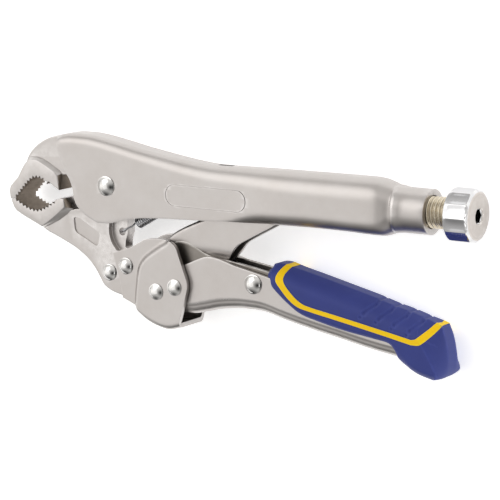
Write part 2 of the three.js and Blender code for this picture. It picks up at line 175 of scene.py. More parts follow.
def arc(centre, radius, start, end, count):
    """Points on a circle, from one angle in degrees to another."""
    angles = np.radians(np.linspace(start, end, count))
    return np.array(centre) + radius * np.stack([np.cos(angles), np.sin(angles)], axis=-1)


def unit(vectors):
    """Vectors brought to length 1."""
    return vectors / np.linalg.norm(vectors, axis=-1, keepdims=True)


def leftwards(directions):
    """Directions in the plane turned a quarter to the left."""
    return np.stack([-directions[:, 1], directions[:, 0]], axis=-1)


def toothed(line, teeth, depth):
    """A smooth gripping line broken into pointed teeth."""
    points = curve(line)(np.linspace(0, 1, 2 * teeth + 1))
    lift = np.where(np.arange(len(points)) % 2, depth, -depth)[:, None]
    return points + leftwards(unit(np.gradient(points, axis=0))) * lift


def left_of(line, points):
    """How far each point lies to the left of a line of points; negative on its right."""
    starts, runs = line[:-1], np.diff(line, axis=0)
    reach = points[..., None, :] - starts
    share = np.clip((reach * runs).sum(-1) / (runs ** 2).sum(-1), 0, 1)
    distance = np.linalg.norm(reach - share[..., None] * runs, axis=-1)
    side = runs[:, 0] * reach[..., 1] - runs[:, 1] * reach[..., 0]
    nearest = distance.argmin(-1)[..., None]
    distance, side = (np.take_along_axis(each, nearest, -1)[..., 0] for each in (distance, side))
    return distance * np.sign(side)


def ease(t):
    """0 up to t = 0, 1 from t = 1, and smooth between."""
    t = np.clip(t, 0, 1)
    return t * t * (3 - 2 * t)


def patch(top, bottom, left, right, down, across):
    """A grid of points filled between four smooth edges, from top to bottom and left to right."""
    top, bottom = top(across)[None], bottom(across)[None]
    left, right = left(down)[:, None], right(down)[:, None]
    v, u = down[:, None, None], across[None, :, None]
    ruled = top * (1 - v) + bottom * v + left * (1 - u) + right * u
    corners = (top[:, :1] * (1 - u) + top[:, -1:] * u) * (1 - v)
    return ruled - corners - (bottom[:, :1] * (1 - u) + bottom[:, -1:] * u) * v


def at_height(grid, height):
    """A grid of plane points with a height, or heights, as their third number."""
    return np.concatenate([grid, np.broadcast_to(height, grid.shape[:-1])[..., None]], axis=-1)


DOWNWARDS = np.array([0.0, -1.0])


# ---------- meshes ----------
def new_mesh(name, points, faces):
    mesh = bpy.data.meshes.new(name)
    mesh.from_pydata(np.asarray(points, float).tolist(), [], faces)
    piece = bpy.data.objects.new(name, mesh)
    bpy.context.scene.collection.objects.link(piece)
    return piece


def edit(piece, change):
    """Runs a change on the piece's mesh."""
    work = bmesh.new()
    work.from_mesh(piece.data)
    change(work)
    work.to_mesh(piece.data)
    work.free()


def freeze(piece):
    """Makes the result of the piece's modifiers its mesh."""
    graph = bpy.context.evaluated_depsgraph_get()
    mesh = bpy.data.meshes.new_from_object(piece.evaluated_get(graph), depsgraph=graph)
    piece.modifiers.clear()
    piece.data = mesh


def solid(name, points, faces):
    """A closed mesh with all its faces turned outwards."""
    piece = new_mesh(name, points, faces)
    edit(piece, lambda work: bmesh.ops.recalc_face_normals(work, faces=work.faces))
    return piece


def grid_faces(rows, columns, closed=False):
    """The faces of a grid of points; a closed one joins its last column to its first."""
    faces = []
    for row in range(rows - 1):
        for column in range(columns if closed else columns - 1):
            a = row * columns + column
            b = row * columns + (column + 1) % columns
            faces.append((a, b, b + columns, a + columns))
    return faces


def border(rows, columns):
    """The row and column of each point round a grid's edge, in order."""
    return ([(0, j) for j in range(columns)]
            + [(i, columns - 1) for i in range(1, rows)]
            + [(rows - 1, j) for j in range(columns - 2, -1, -1)]
            + [(i, 0) for i in range(rows - 2, 0, -1)])


def skin(name, rings):
    """A closed skin over rings of equal size, with flat ends."""
    rings = np.array(rings)
    count, size = rings.shape[:2]
    faces = grid_faces(count, size, closed=True)
    faces.append(tuple(range(size)))
    faces.append(tuple(range((count - 1) * size, count * size))[::-1])
    return solid(name, rings.reshape(-1, 3), faces)


def inset(outline, amount):
    """The outline moved inwards by an amount."""
    after = leftwards(unit(np.roll(outline, -1, axis=0) - outline))
    before = np.roll(after, 1, axis=0)
    mitre = (before + after) / np.maximum(1 + (before * after).sum(1), 0.5)[:, None]
    following = np.roll(outline, -1, axis=0)
    area = (outline[:, 0] * following[:, 1] - outline[:, 1] * following[:, 0]).sum()
    return outline + mitre * amount * np.sign(area)


def slab(name, outline, low, high, rim):
    """A plate with its rims rounded, and a narrow border beside each rounding."""
    outline = np.array(outline, float)
    beside = rim + min(rim, 0.3)
    levels = [(0, beside)]
    for angle in np.linspace(0, math.pi / 2, 4):
        levels.append((rim * (1 - math.cos(angle)), rim * (1 - math.sin(angle))))
    levels.append((beside, 0))
    rings = [at_height(inset(outline, amount), low + drop) for amount, drop in levels[::-1]]
    rings += [at_height(inset(outline, amount), high - drop) for amount, drop in levels]
    return skin(name, rings)


def bore(centre, radius):
    """A round tool for cutting a hole right through."""
    ring = arc(centre, radius, 0, 360, 33)[:-1]
    return skin("bore", [at_height(ring, -THROUGH), at_height(ring, THROUGH)])


def combine(piece, operation, *others):
    """Cuts other shapes from a piece, or joins them to it."""
    for other in others:
        join = piece.modifiers.new(operation, "BOOLEAN")
        join.operation = operation
        join.solver = "EXACT"
        join.object = other
    freeze(piece)
    for other in others:
        bpy.data.objects.remove(other)
    return piece


def pressed(name, grid, thickness, rim=BROKEN_EDGE):
    """Sheet metal: a grid of points on its outer face, thickened inwards, its edges broken."""
    rows, columns = grid.shape[:2]
    piece = new_mesh(name, grid.reshape(-1, 3), grid_faces(rows, columns))
    middle = grid.reshape(-1, 3).mean(0)
    facing = sum(face.normal.dot(face.center - Vector(middle)) for face in piece.data.polygons)
    if facing < 0:
        piece.data.flip_normals()
    sheet = piece.modifiers.new("Sheet", "SOLIDIFY")
    sheet.thickness = thickness
    sheet.offset = -1
    soften(piece, rim)
    return piece


def walled(name, outer, inner):
    """Sheet metal between an outer and an inner grid of points, its edges broken."""
    rows, columns = outer.shape[:2]
    count = rows * columns
    edge = [i * columns + j for i, j in border(rows, columns)]
    faces = grid_faces(rows, columns)
    faces += [tuple(i + count for i in face)[::-1] for face in faces]
    faces += [(a, a + count, b + count, b) for a, b in zip(edge, edge[1:] + edge[:1])]
    piece = solid(name, np.concatenate([outer.reshape(-1, 3), inner.reshape(-1, 3)]), faces)
    soften(piece, BROKEN_EDGE)
    return piece


def soften(piece, rim):
    """Rounds a piece's sharp edges a little."""
    edge = piece.modifiers.new("Edge", "BEVEL")
    edge.width = rim
    edge.segments = 2
    edge.limit_method = "ANGLE"
    edge.angle_limit = math.radians(50)
    freeze(piece)


def folded(ear, fold, radius, turns=7, spans=6):
    """A channel's grid: one side's grid, ending at the fold line, a bend, and their mirror image.

    fold is the direction in the plane that the bend goes out to, or one for each column."""
    line, half = ear[-1, :, :2], ear[-1, :, 2]
    rows = []
    for angle in np.linspace(0, math.pi / 2, turns)[1:]:
        out = line + fold * (radius * math.sin(angle))
        rows.append(at_height(out, half - radius * (1 - math.cos(angle))))
    for share in np.linspace(1, 0, spans)[1:]:
        rows.append(at_height(rows[turns - 2][:, :2], (half - radius) * share))
    near = np.concatenate([ear, np.array(rows)])
    return np.concatenate([near, near[-2::-1] * [1, 1, -1]])


def spun(name, profile, segments, centre=None):
    """A solid of revolution from [height, radius] points, about Z at a centre or the screw."""
    angles = np.linspace(0, 2 * math.pi, segments, endpoint=False)
    rings = []
    for height, radius in profile:
        one, two = radius * np.cos(angles), radius * np.sin(angles)
        level = np.full(segments, float(height))
        if centre is None:
            rings.append(np.stack([level, SCREW_Y + one, two], axis=-1))
        else:
            rings.append(np.stack([centre[0] + one, centre[1] + two, level], axis=-1))
    return skin(name, rings)


def wire(name, path, radius, sides=8):
    """A round wire along a path of points."""
    ahead = unit(np.gradient(path, axis=0))
    across = np.cross(ahead[0], [0.3, 0.5, 0.8])
    rings = []
    angles = np.linspace(0, 2 * math.pi, sides, endpoint=False)[:, None]
    for centre, direction in zip(path, ahead):
        across = across - direction * across.dot(direction)
        across /= np.linalg.norm(across)
        other = np.cross(direction, across)
        rings.append(centre + radius * (np.cos(angles) * across + np.sin(angles) * other))
    return skin(name, rings)


def mark_edges(work):
    """Notes at each point how sharply the surface bends outwards there, for the wear."""
    slightest, sharpest = 0.15, 0.7
    layer = work.verts.layers.float.new("edge_wear")
    for edge in work.edges:
        bend = edge.calc_face_angle_signed(0)
        if bend > slightest:
            for vertex in edge.verts:
                vertex[layer] = max(vertex[layer], min(1, bend / sharpest))


def settle(piece, finish, body, node, smooth_below=32, second=None, pick=None):
    """Gives a finished shape its shading, wear and material, and puts it on its body.

    second is another finish, for the faces that pick(centres, normals) chooses."""
    mesh = piece.data
    mesh.materials.clear()
    mesh.materials.append(finish)
    if second:
        centres = np.array([face.center for face in mesh.polygons])
        normals = np.array([face.normal for face in mesh.polygons])
        mesh.materials.append(second)
        mesh.polygons.foreach_set("material_index", pick(centres, normals).astype(np.int32))
    edit(piece, mark_edges)
    mesh.transform(Matrix.Translation(MAIN_PIVOT) @ Matrix.Scale(MM, 4))
    mesh.polygons.foreach_set("use_smooth", [True] * len(mesh.polygons))
    mesh.set_sharp_from_angle(angle=math.radians(smooth_below))
    mesh.update()
    if body:
        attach(piece, body)
    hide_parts(node)
    return piece


# ---------- finishes ----------
class Value:
    """A socket's value; arithmetic on it adds Math nodes."""

    def __init__(self, finish, socket):
        self.finish, self.socket = finish, socket

    def math(self, operation, first, second=0.0):
        return self.finish.add("Math", {"operation": operation}, {0: first, 1: second})

    def __add__(self, other):
        return self.math("ADD", self, other)

    def __sub__(self, other):
        return self.math("SUBTRACT", self, other)

    def __rsub__(self, other):
        return self.math("SUBTRACT", other, self)

    def __mul__(self, other):
        return self.math("MULTIPLY", self, other)

    def __pow__(self, other):
        return self.math("POWER", self, other)

    def clamped(self):
        return self.math("MINIMUM", self.math("MAXIMUM", self, 0.0), 1.0)

    __radd__, __rmul__ = __add__, __mul__


class Finish:
    """A node tree, and short ways of adding nodes to it."""

    def __init__(self, tree):
        self.tree = tree
        tree.nodes.clear()

    def node(self, kind, settings=None, inputs=None):
        """Adds a node, sets it up, and gives its sockets their values or links."""
        node = self.tree.nodes.new("ShaderNode" + kind)
        for name, value in (settings or {}).items():
            setattr(node, name, value)
        for name, value in (inputs or {}).items():
            if isinstance(value, Value):
                self.tree.links.new(value.socket, node.inputs[name])
            else:
                node.inputs[name].default_value = value
        return node

    def add(self, kind, settings=None, inputs=None, output=0):
        """The output of a new node."""
        return Value(self, self.node(kind, settings, inputs).outputs[output])

    def noise(self, scale, detail=3, roughness=0.55, where=None):
        where = where or self.add("TexCoord", output="Object")
        inputs = {"Vector": where, "Scale": scale, "Detail": detail, "Roughness": roughness}
        return self.add("TexNoise", inputs=inputs)

    def stretched(self, scale):
        """Object coordinates scaled by different amounts along the three axes."""
        where = self.add("TexCoord", output="Object")
        return self.add("VectorMath", {"operation": "MULTIPLY"}, {0: where, 1: scale})

    def blend(self, share, first, second):
        inputs = {0: share, 6: (*first, 1) if isinstance(first, tuple) else first,
                  7: (*second, 1) if isinstance(second, tuple) else second}
        return self.add("Mix", {"data_type": "RGBA"}, inputs, output=2)

    def edge_wear(self):
        """1 on the outer edges, broken up so that it fades in and out along them."""
        mask = self.add("Attribute", {"attribute_name": "edge_wear"}, output="Fac")
        return (mask * (self.noise(420, 2) * 1.6 - 0.25)).clamped()

    def bump(self, height, strength, distance):
        inputs = {"Strength": strength, "Distance": distance, "Height": height}
        return self.add("Bump", inputs=inputs)


def material(name, build):
    """A material whose shader takes the values that build() gives."""
    made = bpy.data.materials.new(name)
    made.use_nodes = True
    finish = Finish(made.node_tree)
    shader = finish.node("BsdfPrincipled", inputs=build(finish))
    output = finish.node("OutputMaterial")
    made.node_tree.links.new(shader.outputs[0], output.inputs["Surface"])
    return made


def metal(dark, light, roughness, spread, grain, depth, worn):
    """A metal finish: cloudy colour, fine grain and bright worn edges."""

    def build(finish):
        cloud = finish.noise(55, 3)
        fine = finish.noise(grain, 3, 0.6)
        wear = finish.edge_wear()
        stain = finish.noise(300, 4)
        colour = finish.blend((cloud * 1.6 - 0.3 + stain * 0.4 - 0.2).clamped(), dark, light)
        return {
            "Base Color": finish.blend(wear * 0.8, colour, worn),
            "Metallic": 1.0,
            "Roughness": (fine * spread + cloud * spread * 0.6 + (roughness - spread * 0.8)
                          - wear * 0.12).clamped(),
            "Normal": finish.bump(fine + finish.noise(grain * 0.3, 2) * 0.7, 0.5, depth),
        }

    return build


def moulded(dark, light):
    """A matt moulded plastic with a fine pebbled texture."""

    def build(finish):
        cloud = finish.noise(70, 3)
        where = finish.add("TexCoord", output="Object")
        pebbles = finish.add("TexVoronoi", inputs={"Vector": where, "Scale": 2600.0})
        wear = finish.edge_wear()
        colour = finish.blend(cloud, dark, light)
        rubbed = tuple(min(1, channel * 1.5 + 0.02) for channel in light)
        return {
            "Base Color": finish.blend(wear * 0.5, colour, rubbed),
            "Roughness": (cloud * 0.15 + 0.48 - wear * 0.1).clamped(),
            "Specular IOR Level": 0.3,
            "Normal": finish.bump(pebbles + cloud * 0.5, 0.35, 0.00003),
        }

    return build


def ribbed_steel(finish):
    """Cut steel between the teeth: cut lines across the jaw, dull and brownish."""
    cuts = finish.noise(1, 3, 0.6, finish.stretched((2600, 2600, 160)))
    cloud = finish.noise(260, 3)
    return {
        "Base Color": finish.blend(cloud, (0.20, 0.165, 0.135), (0.36, 0.31, 0.26)),
        "Metallic": 1.0,
        "Roughness": (cuts * 0.2 + 0.36).clamped(),
        "Normal": finish.bump(cuts, 0.5, 0.00008),
    }


SATIN = material("satin_nickel", metal(
    (0.475, 0.445, 0.425), (0.54, 0.515, 0.50), 0.36, 0.16, 2200, 0.00003, (0.72, 0.70, 0.69)))
# Steel with painted shade: its colour is darkened to stand for the shade inside the lower handle's
# channel, and it goes on the parts that sit there
PAINTED_SHADE_STEEL = material("dark_steel", metal(
    (0.17, 0.155, 0.14), (0.30, 0.275, 0.25), 0.36, 0.16, 1500, 0.00003, (0.72, 0.70, 0.68)))
RIVET = material("polished_rivet", metal(
    (0.70, 0.69, 0.67), (0.80, 0.79, 0.78), 0.13, 0.08, 900, 0.000004, (0.85, 0.84, 0.83)))
SPRING = material("spring_steel", metal(
    (0.30, 0.31, 0.33), (0.52, 0.53, 0.55), 0.27, 0.12, 1200, 0.00002, (0.7, 0.7, 0.72)))
SCREW = material("screw_steel", metal(
    (0.42, 0.36, 0.26), (0.60, 0.53, 0.41), 0.27, 0.12, 1100, 0.00002, (0.80, 0.74, 0.62)))
CHROME = material("chrome_knob", metal(
    (0.55, 0.55, 0.56), (0.64, 0.64, 0.65), 0.11, 0.07, 700, 0.00001, (0.9, 0.9, 0.9)))
FACE = material("knob_face", metal(
    (0.47, 0.43, 0.40), (0.55, 0.51, 0.48), 0.33, 0.12, 2600, 0.00002, (0.85, 0.83, 0.8)))
TOOTH = material("tooth_steel", ribbed_steel)
BLUE = material("blue_grip", moulded((0.028, 0.040, 0.20), (0.040, 0.057, 0.262)))
YELLOW = material("yellow_grip", moulded((0.95, 0.58, 0.0), (1.0, 0.66, 0.0)))


# ---------- upper handle ----------
FRAME_TOP = along([
    [-30, 22.0], [-24, 23.15], [-14, 23.33], [-5, 22.4], [5, 20.7], [17, 18.5], [28, 16.8],
    [44, 14.6], [60, 13.45], [78, 13.7], [115, 14.1], [138, 14.2], [144, 13.95], [149, 12.9],
    [153.5, 11.35], [158, 10.9], [169.3, 10.9]])
FRAME_BOTTOM = along([
    [-5, -18], [1.5, -17.7], [7.5, -16.2], [17, -14.1], [29, -13], [52, -12], [70, -11.1],
    [92, -11.1], [115, -10.8], [130, -10.9], [140, -11.3], [147.3, -11.45], [152.2, -10.1],
    [154, -9.6], [158, -9.5], [169.3, -9.5]])
FRAME_WIDTH = along([
    [-30, 8.8], [66, 8.8], [100, 10.4], [140, 10.4], [145, 10.3], [149, 9.6], [152.2, 9.0],
    [152.7, 10.15], [158, 10.2], [169.3, 10.2]])
BACK_RADIUS = along([
    [-30, 4.6], [0, 4.8], [40, 6], [80, 8], [104, 9.4], [146, 9.6], [153, 9.5], [157, 10.15],
    [169.3, 10.15]])
CURL_RADIUS = along([[60, 5], [100, 6.5], [146, 7.5], [157, 10.1], [169.3, 10.1]])
CURL_ANGLE = along([[64, 0], [94, 90], [169.3, 90]])
FLOOR_SHARE = along([[88, 0], [104, 1], [169.3, 1]])
SEAM_HALF = along([[88, 3.2], [134, 3.2], [146, 0.05], [169.3, 0.05]])
FRONT_EDGE = along([
    [-18, -5.1], [-15.4, -11.4], [-11.2, -16.8], [-7.2, -18.9], [-2.5, -19.8], [1.5, -21.4],
    [6, -24.5], [18, -29], [23, -29.2]])
FRONT_TOP_X, FRONT_BOTTOM_X, FRONT_ZONE_END = -29, -5.1, 40


def back_radius(x):
    """The bend's radius, which the neck's narrow sides limit."""
    return min(BACK_RADIUS(x), FRAME_WIDTH(x) - 0.05)


def handle_side(x):
    """One side of the handle's section from the bend's end to the sheet's edge."""
    half = FRAME_WIDTH(x)
    radius = min(CURL_RADIUS(x), half - 0.05)
    turn = math.radians(CURL_ANGLE(x))
    start = FRAME_TOP(x) - back_radius(x)
    side_end = FRAME_BOTTOM(x) + radius * math.sin(turn)
    angles = np.linspace(0, turn, 24)
    curl = np.stack([side_end - radius * np.sin(angles), half - radius * (1 - np.cos(angles))],
                    axis=-1)
    lip = FLOOR_SHARE(x) * (half - radius - SEAM_HALF(x))
    parts = [[[start, half]], curl, [[FRAME_BOTTOM(x), half - radius - lip]] if lip > 0.05 else []]
    return by_length(np.concatenate([part for part in parts if len(part)]))


def upper_handle():
    """A folded sheet: slanted, curved front edges, a curled lower edge, and a round neck."""
    shares = np.linspace(0, 1, 26)[1:]
    bends = np.linspace(0, math.pi / 2, 12)
    zone = np.linspace(0, 1, 24)
    tops = FRONT_TOP_X + (FRONT_ZONE_END - FRONT_TOP_X) * zone
    edges = FRONT_BOTTOM_X + (FRONT_ZONE_END - FRONT_BOTTOM_X) * zone
    neck = [152.2, 152.7, 153.6, 155, 157, 160, 163, 166, 169.3]
    rear = np.concatenate([np.arange(42.5, 144, 2.5), np.arange(144.5, 152, 1), neck])
    tops, edges = np.concatenate([tops, rear]), np.concatenate([edges, rear])
    zone = np.concatenate([zone, np.ones(len(rear))])
    rows = []
    for top_x, edge_x, share in zip(tops, edges, zone):
        top, half, radius = FRAME_TOP(top_x), FRAME_WIDTH(top_x), back_radius(top_x)
        flat = np.linspace(0, half - radius, 5)[:-1]
        back = [[top_x, top, z] for z in flat]
        back += [[top_x, top - radius * (1 - math.cos(a)), half - radius * (1 - math.sin(a))]
                 for a in bends]
        if share < 1:
            y = top - radius + (FRAME_BOTTOM(edge_x) - top + radius) * shares
            front_y = FRAME_TOP(FRONT_TOP_X) - back_radius(FRONT_TOP_X)
            front_y = front_y + (FRAME_BOTTOM(FRONT_BOTTOM_X) - front_y) * shares
            straight = FRONT_TOP_X + (FRONT_BOTTOM_X - FRONT_TOP_X) * shares
            bulge = (FRONT_EDGE(front_y) - straight) * (1 - share) ** 2
            x = top_x + (edge_x - top_x) * shares + bulge
            side = np.stack([x, y, np.full(len(y), half)], axis=-1)
        else:
            side = np.insert(handle_side(top_x)(shares), 0, top_x, axis=1)
        rows.append(np.concatenate([back, side]))
    near = np.array(rows)
    outer = np.concatenate([near[:, :0:-1], near * [1, 1, -1]], axis=1)
    around = unit(np.gradient(outer[..., 1:], axis=1))
    inner = outer.copy()
    inner[..., 1] -= around[..., 1] * FRAME_SHEET
    inner[..., 2] += around[..., 0] * FRAME_SHEET
    if abs(inner[0, 0, 2]) > abs(outer[0, 0, 2]):
        inner[..., 1:] = 2 * outer[..., 1:] - inner[..., 1:]
    handle = walled("upper_channel", outer, inner)
    spring_slot = slab("slot", [[58, 6], [66, 6], [66, 20], [58, 20]], -1.3, 1.3, 0.3)
    return combine(handle, "DIFFERENCE", spring_slot, cartouche(), bore((0, 0), MAIN_BORE))


def cartouche():
    """A tool that cuts a thin empty stadium line into the near cheek."""
    half_length, half_height = 22.0, 5.0
    centre = np.array([55.8, -1.3])
    right = arc(centre + [half_length - half_height, 0], half_height, -90, 90, 18)
    left = arc(centre - [half_length - half_height, 0], half_height, 90, 270, 18)
    loop = np.concatenate([right, left])
    depth, width = 0.35, 0.22
    section = [(-width, 1), (width, 1), (width * 0.5, -depth), (-width * 0.5, -depth)]
    ring = [at_height(inset(loop, amount), FRAME_HALF + drop) for amount, drop in section]
    points = np.concatenate(ring)
    size = len(loop)
    faces = [(a * size + i, a * size + (i + 1) % size, b * size + (i + 1) % size, b * size + i)
             for a, b in ((0, 1), (1, 2), (2, 3), (3, 0)) for i in range(size)]
    return solid("cartouche", points, faces)


# ---------- jaws ----------
UPPER_TEETH = toothed([[-54.4, -9.7], [-52.1, -7.2], [-49.5, -4.3], [-46.4, -1.1], [-43.6, 0.8],
                       [-41.0, 1.2], [-38.6, 0.8], [-36.6, -0.4], [-35.2, -1.4]], 12, 0.62)
LOWER_TEETH = toothed([[-30.3, -9.8], [-33.4, -11.7], [-36.6, -13.6], [-40.0, -15.0],
                       [-43.5, -15.2], [-47.0, -14.3], [-50.2, -12.9], [-52.6, -11.6],
                       [-54.5, -10.6]], 12, 0.62)


def raised_pad(name, top_line, base_line, half, base):
    """A pad standing on both sides of a jaw plate, its edge sloping from one line to the other."""
    top_line, base_line = np.array(top_line, float), np.array(base_line, float)
    lower = at_height(inset(top_line, 0.35), half)
    rings = [at_height(base_line, base), at_height(base_line * 0.12 + top_line * 0.88, half - 0.28),
             at_height(inset(top_line, 0.12), half - 0.06), lower]
    return skin(name, [ring * [1, 1, -1] for ring in rings[::-1]] + rings)


def fixed_jaw():
    """The plate that goes between the cheeks, with the thick toothed nose."""
    front = [[-50.2, 4.5], [-52.8, 0.1], [-57.2, -4.3], [-58.1, -6.7], [-57.5, -9.8],
             [-57.0, -10.78], [-55.6, -10.5]]
    heel = [[-34.3, -0.6], [-31.0, -2.9], [-28.2, -4.3], [-28.5, -1.0], [-29.3, 2.6]]
    teeth = UPPER_TEETH.tolist()
    crest = [[-31.5, 4.4], [-36.8, 7.2], [-40.6, 8.9], [-43.6, 9.3], [-46.2, 9.0], [-48.4, 7.0]]
    foot = [[-27.8, 3.6], [-28.6, 4.7], [-35.0, 8.2], [-39.2, 10.1], [-42.6, 10.8], [-46.6, 10.6],
            [-49.3, 7.6]]
    top_line = front + teeth + heel + crest
    base_line = [[-50.6, 4.9]] + front[1:] + teeth + heel[:-1] + foot
    pad = raised_pad("pad", top_line, base_line, NOSE_HALF, TANG_HALF - 0.2)
    crown = curve([[-30.9, 21.7], [-37.0, 19.7], [-43.1, 16.0], [-47.8, 11.0], [-50.4, 5.0]])
    hub = arc((0, 0), 12.4, 73, 172, 20)
    back = curve([[3.5, 15.4], [-5, 17.2], [-14, 18.4], [-22, 18.8], [-30.9, 21.7]])
    lower = [[-45.5, 2.5], [-29.0, 2.5], [-25.0, 3.0], [-16.5, 1.7]]
    plate_line = np.concatenate([crown(np.linspace(0, 1, 16)), lower, hub[::-1],
                                 back(np.linspace(0, 1, 14)[:-1])])
    jaw = slab("fixed_jaw_forging", plate_line, -TANG_HALF, TANG_HALF, 0.45)
    return combine(jaw, "UNION", pad)


def lower_jaw():
    """The hub, the thin web with the spring's hole, the tail, and the thick toothed nose."""
    nose = [[-55.6, -10.68], [-56.9, -10.95], [-56.5, -12.2], [-55.4, -14.5], [-53.8, -16.3],
            [-49.9, -18.2], [-43.1, -21.0]]
    step = [[-25.1, -12.3], [-25.6, -8.2], [-27.4, -8.1], [-29.6, -8.9]]
    crest = [[-38.9, -22.6], [-37.4, -22.0], [-34.9, -20.3], [-30.0, -16.5]]
    foot = [[-38.4, -23.4], [-35.4, -22.2], [-29.4, -19.2], [-24.6, -15.9], [-21.6, -13.0],
            [-25.5, -8.1]]
    front = LOWER_TEETH.tolist() + nose
    top_line = front + crest + step
    base_line = front + foot + step[2:]
    pad = raised_pad("pad", top_line, base_line, NOSE_HALF, TANG_HALF - 0.2)
    underside = curve([[-42.5, -21.2], [-38.4, -24.4], [-31.1, -27.3], [-24.3, -30.0],
                       [-20.2, -31.9], [-13.8, -36.0], [-9.4, -40.4], [-6.6, -44.4], [-3.8, -48.4],
                       [0.6, -50.8], [6.9, -52.4]])
    under = underside(np.linspace(0, 1, 44))
    tail = arc(LEVER_PIVOT, 7.4, -62, 60, 12)
    hub = arc((0, 0), 11.5, -52, 228, 44)
    throat = [[8.6, -30.4], [6.8, -29.4], [7.0, -26.5], [8.2, -22.4], [8.0, -15.4]]
    upper = [[-11.6, -12.2], [-20.6, -13.0], [-27.0, -15.5], [-40.5, -19.6]]
    plate_line = np.concatenate([under, [[12.0, -49.6]], tail[1:], throat, hub, upper])
    jaw = slab("lower_jaw_forging", plate_line, -TANG_HALF, TANG_HALF, 0.45)
    web_edge = curve([[-0.5, -17.5], [-0.8, -22.5], [0.8, -27.5], [3.6, -31.0]])
    pocket = np.concatenate([[[14, -11.0], [-0.2, -11.0]], web_edge(np.linspace(0, 1, 10)),
                             [[9, -31], [14, -26]]])
    web_half, panel_depth, clear = 3.0, 0.6, 9
    near = slab("near_pocket", pocket, web_half, clear, 0.25)
    far = slab("far_pocket", pocket, -clear, -web_half, 0.25)
    recess = np.array([[-21.6, -17.0], [-18.4, -16.9], [-6.0, -23.6], [-7.4, -30.2],
                       [-20.6, -24.0]])
    panel = slab("panel", rounded(recess, 1.6), TANG_HALF - panel_depth, clear, 0.1)
    combine(jaw, "UNION", pad)
    bores = [bore((0, 0), MAIN_BORE), bore(TAIL_STOP, LARGE_BORE), bore(LEVER_PIVOT, LARGE_BORE)]
    return combine(jaw, "DIFFERENCE", near, far, panel, bore(SPRING_HOLE, 1.9), *bores)


def rounded(outline, radius, steps=5):
    """An outline with its corners rounded."""
    points = []
    neighbours = np.roll(outline, 1, axis=0), outline, np.roll(outline, -1, axis=0)
    for before, corner, after in zip(*neighbours):
        one = corner + (before - corner) / np.linalg.norm(before - corner) * radius
        two = corner + (after - corner) / np.linalg.norm(after - corner) * radius
        for t in np.linspace(0, 1, steps):
            points.append(one * (1 - t) ** 2 + corner * 2 * t * (1 - t) + two * t * t)
    return np.array(points)


def cut_faces(line, wall):
    """Picks the faces cut by the teeth, and the pad's end wall at x = wall."""

    def pick(centres, normals):
        distance = np.abs(left_of(line, centres[:, :2]))
        teeth = (distance < 1.1) & (np.abs(normals[:, 2]) < 0.4)
        return teeth | (normals[:, 0] > 0.7) & (np.abs(centres[:, 0] - wall) < 1.3)

    return pick


# ---------- lever ----------
def lever():
    """A bracket pressed from one sheet: flat ears in front, then a raised section."""
    down, across = np.linspace(0, 1, 64), np.linspace(0, 1, 76)
    ear = patch(
        curve([[3.4, -31.6], [12.6, -28.6], [19.1, -25.1], [22.2, -23.5], [30.6, -22.6],
               [37.9, -23.4]]),
        curve([[8.9, -52.2], [13.2, -53.9], [16.8, -55.2], [19.6, -57.1], [23.7, -59.6],
               [29.0, -61.6], [35.4, -62.6], [42.3, -61.0]]),
        curve([[3.4, -31.6], [5.3, -38], [7.2, -44.4], [8.9, -52.2]]),
        curve([[37.9, -23.4], [40.1, -25.3], [42.1, -29.9], [44.2, -35.3], [46.4, -41.1],
               [46.7, -43.8], [45.6, -49], [44.0, -55], [42.3, -61.0]]),
        down, across)
    step = curve([[37.5, -18.5], [34.9, -23.6], [31.2, -26.0], [25.8, -29.6], [22.0, -32.7],
                  [19.6, -36.0], [18.5, -39.6], [17.7, -45.6], [17.0, -53.5], [17.2, -62]])
    rise = ease((left_of(step(np.linspace(0, 1, 90)), ear) + 1.5) / 3.0)
    grid = at_height(ear, EAR_HALF + (BULGE_HALF - EAR_HALF) * rise)
    piece = pressed("pressed_lever", folded(grid, DOWNWARDS, 2.6), LEVER_SHEET)
    between = EAR_HALF - LEVER_SHEET - 0.05
    mouth = [[-5, -75], [18.5, -75], [18.5, -45], [-5, -45]]
    below = [[-5, -75], [17.6, -75], [17.2, -56.2], [14.6, -54.9], [8.7, -52.6], [-5, -53]]
    tools = [slab("gap", mouth, -between, between, 0.1),
             slab("trim", below, -THROUGH, THROUGH, 0.1)]
    tools += [bore(centre, SMALL_BORE) for centre in (LEVER_PIVOT, HANDLE_PIVOT, LINK_PIVOT)]
    return combine(piece, "DIFFERENCE", *tools)


# ---------- toggle link ----------
def toggle_link():
    """A channel folded along its upper edge, narrow at the lever and wider towards the nose."""
    down, across = np.linspace(0, 1, 26), np.linspace(0, 1, 60)
    ear = patch(
        curve([[43.5, -49.8], [50.5, -44.5], [57.5, -39.0], [63.5, -32.2], [67.6, -26.9],
               [70.6, -22.8], [77.5, -18.6], [88.9, -12.4], [101.5, -4.9]]),
        curve([[35.2, -46.0], [34.8, -42.5], [34.2, -38], [33.8, -30], [34.0, -23.8], [37.4, -20.9],
               [50.0, -14.6], [64.5, -8.2], [80, -1.3], [98.0, 3.6]]),
        curve([[43.5, -49.8], [40.0, -50.6], [37.0, -49.2], [35.2, -46.0]]),
        curve([[101.5, -4.9], [104.9, -3.0], [106.0, 0.7], [104.0, 4.2], [98.0, 3.6]]),
        down, across)
    flare = ease((ear[..., 1] + 31) / 6.5) * ease((100 - ear[..., 0]) / 12)
    narrow, widening = 3.7, 1.7
    grid = at_height(ear, narrow + widening * flare)
    fold = leftwards(unit(np.gradient(grid[-1, :, :2], axis=0)))
    return pressed("link_channel", folded(grid, fold, 1.9, spans=4), LINK_SHEET)


